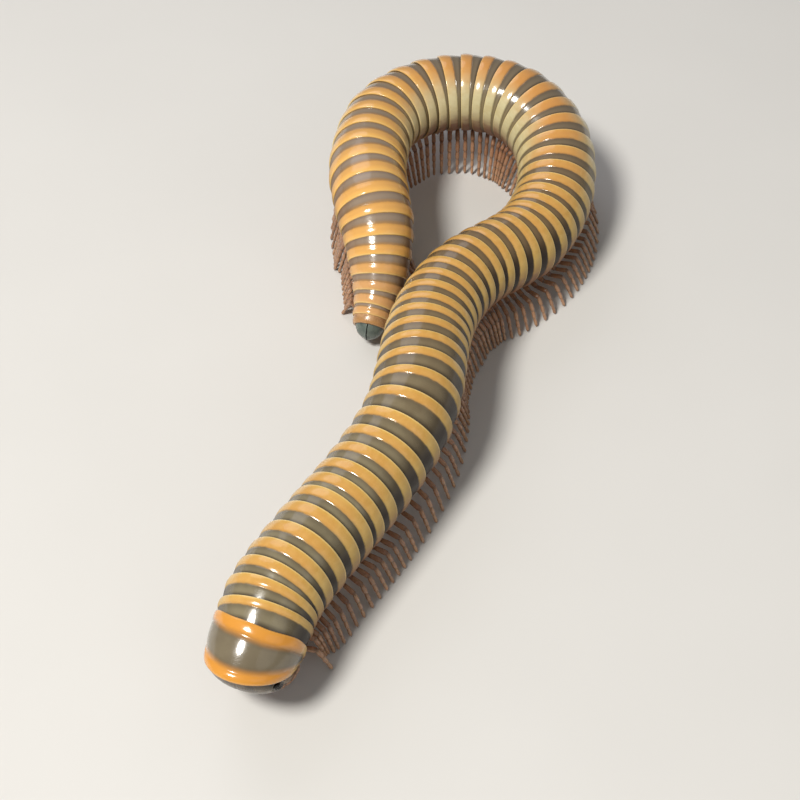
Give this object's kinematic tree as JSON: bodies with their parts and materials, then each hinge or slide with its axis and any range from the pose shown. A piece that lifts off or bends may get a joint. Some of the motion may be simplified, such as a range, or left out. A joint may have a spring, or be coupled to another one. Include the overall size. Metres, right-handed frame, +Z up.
{
  "type": "banded millipede",
  "caption": "Life-size banded millipede standing in a loose hook: head with eyes and feelers, neck shield, ringed trunk with legs, and tail end with its valves.",
  "frame": {"origin": "on the floor, at the centre of the animal's bounding box", "axes": "+Z up; +Y along the length of the hook, from the head's end to the top of the loop; +X across it"},
  "size_m": [0.0346, 0.0728, 0.0122],
  "materials": {
    "banded_shell": "smooth glossy chitin, orange hind bands and grey front bands",
    "grey_shell": "smooth glossy grey-olive chitin",
    "limb": "satin translucent brown chitin",
    "eye": "glossy black, beaded"
  },
  "bodies": {
    "root": {"head": "grey_shell", "eye_left": "eye", "eye_right": "eye", "antenna_left": "limb", "antenna_right": "limb", "collum": "banded_shell", "trunk_01": "banded_shell", "trunk_02": "banded_shell", "trunk_03": "banded_shell", "trunk_04": "banded_shell", "trunk_05": "banded_shell", "trunk_06": "banded_shell", "trunk_07": "banded_shell", "trunk_08": "banded_shell", "trunk_09": "banded_shell", "trunk_10": "banded_shell", "telson": "banded_shell", "anal_valve_left": "grey_shell", "anal_valve_right": "grey_shell"}
  },
  "joints": []
}
